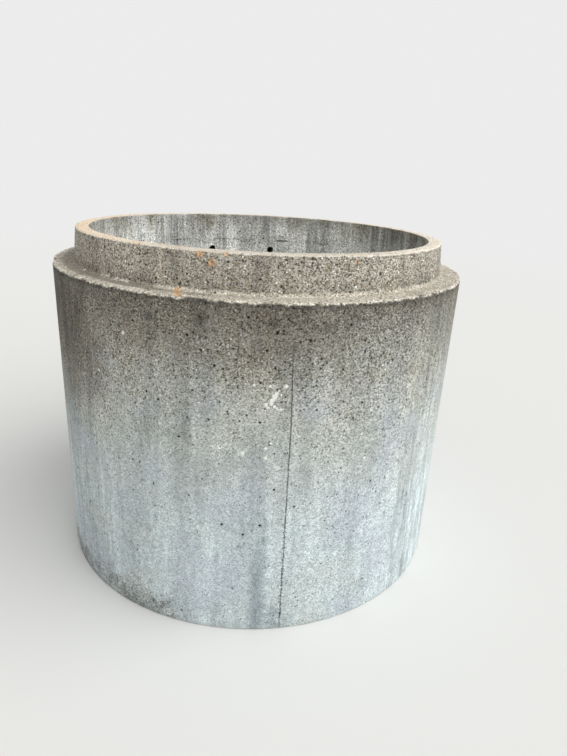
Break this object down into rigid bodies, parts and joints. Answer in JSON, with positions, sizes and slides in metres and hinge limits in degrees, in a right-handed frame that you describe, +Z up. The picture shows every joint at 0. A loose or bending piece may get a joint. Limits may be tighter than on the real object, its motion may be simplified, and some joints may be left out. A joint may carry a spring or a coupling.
{
  "type": "manhole riser",
  "caption": "Round precast concrete shaft ring with a tapered tongue on top, a matching groove underneath and paired blind holes inside for step irons.",
  "frame": {"origin": "centre of the bottom rim, where the ring stands", "axes": "+Z up the shaft axis, from the groove end to the tongue end; +Y towards the column of step holes"},
  "size_m": [1.473, 1.473, 1.2],
  "materials": {
    "concrete": "weathered precast concrete, matt and slightly porous"
  },
  "bodies": {
    "root": {"riser_ring": "concrete"}
  },
  "joints": []
}
